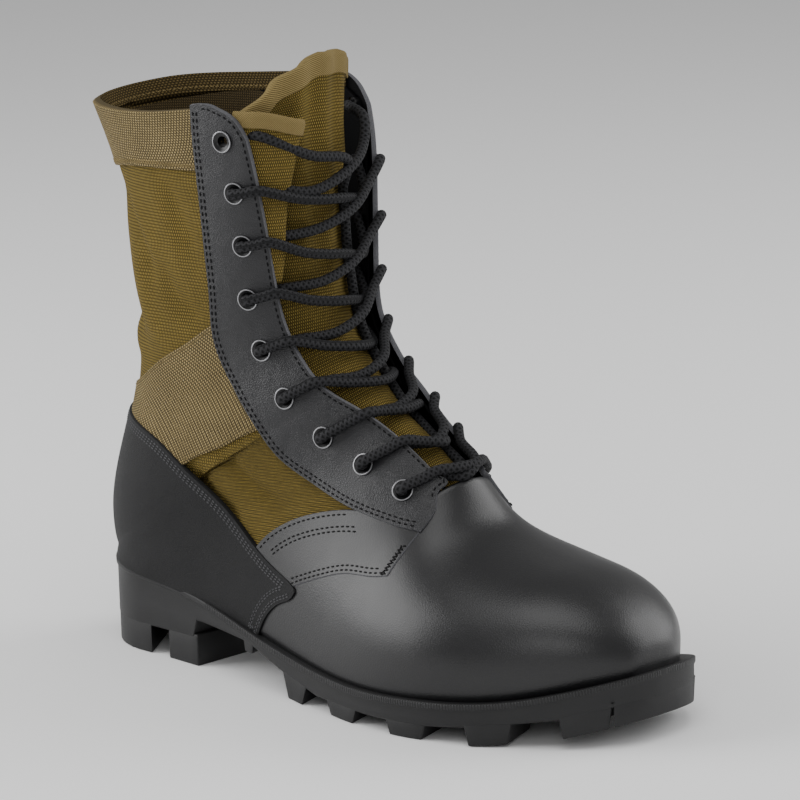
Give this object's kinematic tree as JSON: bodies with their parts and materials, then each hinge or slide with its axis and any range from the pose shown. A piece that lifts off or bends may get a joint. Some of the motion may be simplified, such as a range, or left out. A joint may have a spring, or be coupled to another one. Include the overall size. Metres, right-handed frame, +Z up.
{
  "type": "jungle boot",
  "caption": "High lace-up jungle boot for the right foot: lugged rubber sole, black leather vamp and counter, olive fabric shaft with webbing collar and ankle strap",
  "frame": {"origin": "on the floor, on the flat tread of the heel's front lug, on the boot's middle line", "axes": "+X to the toe, +Y to the inner side of the right foot, +Z up"},
  "size_m": [0.3121, 0.115, 0.277],
  "materials": {
    "rubber_black": "matte moulded",
    "leather_black": "smooth, semi-gloss",
    "leather_matt": "fine-grained, matte",
    "nylon_olive": "ribbed weave, matte",
    "webbing_khaki": "coarse webbing, matte",
    "sock_fabric": "matte",
    "eyelet_metal": "black enamel",
    "lace_black": "round braid, matte"
  },
  "bodies": {
    "root": {"outsole": "rubber_black", "insole": "sock_fabric", "upper": "nylon_olive", "vamp": "leather_black", "counter": "leather_matt", "side_wing_outer": "leather_black", "side_wing_inner": "leather_black", "eyestay_outer": "leather_black", "eyestay_inner": "leather_black", "collar_band": "webbing_khaki", "ankle_strap": "webbing_khaki", "tongue": "nylon_olive", "lace": "lace_black", "eyelet_outer_1": "eyelet_metal", "eyelet_outer_2": "eyelet_metal", "eyelet_outer_3": "eyelet_metal", "eyelet_outer_4": "eyelet_metal", "eyelet_outer_5": "eyelet_metal", "eyelet_outer_6": "eyelet_metal", "eyelet_outer_7": "eyelet_metal", "eyelet_outer_8": "eyelet_metal", "eyelet_outer_9": "eyelet_metal", "eyelet_inner_1": "eyelet_metal", "eyelet_inner_2": "eyelet_metal", "eyelet_inner_3": "eyelet_metal", "eyelet_inner_4": "eyelet_metal", "eyelet_inner_5": "eyelet_metal", "eyelet_inner_6": "eyelet_metal", "eyelet_inner_7": "eyelet_metal", "eyelet_inner_8": "eyelet_metal", "eyelet_inner_9": "eyelet_metal"}
  },
  "joints": []
}
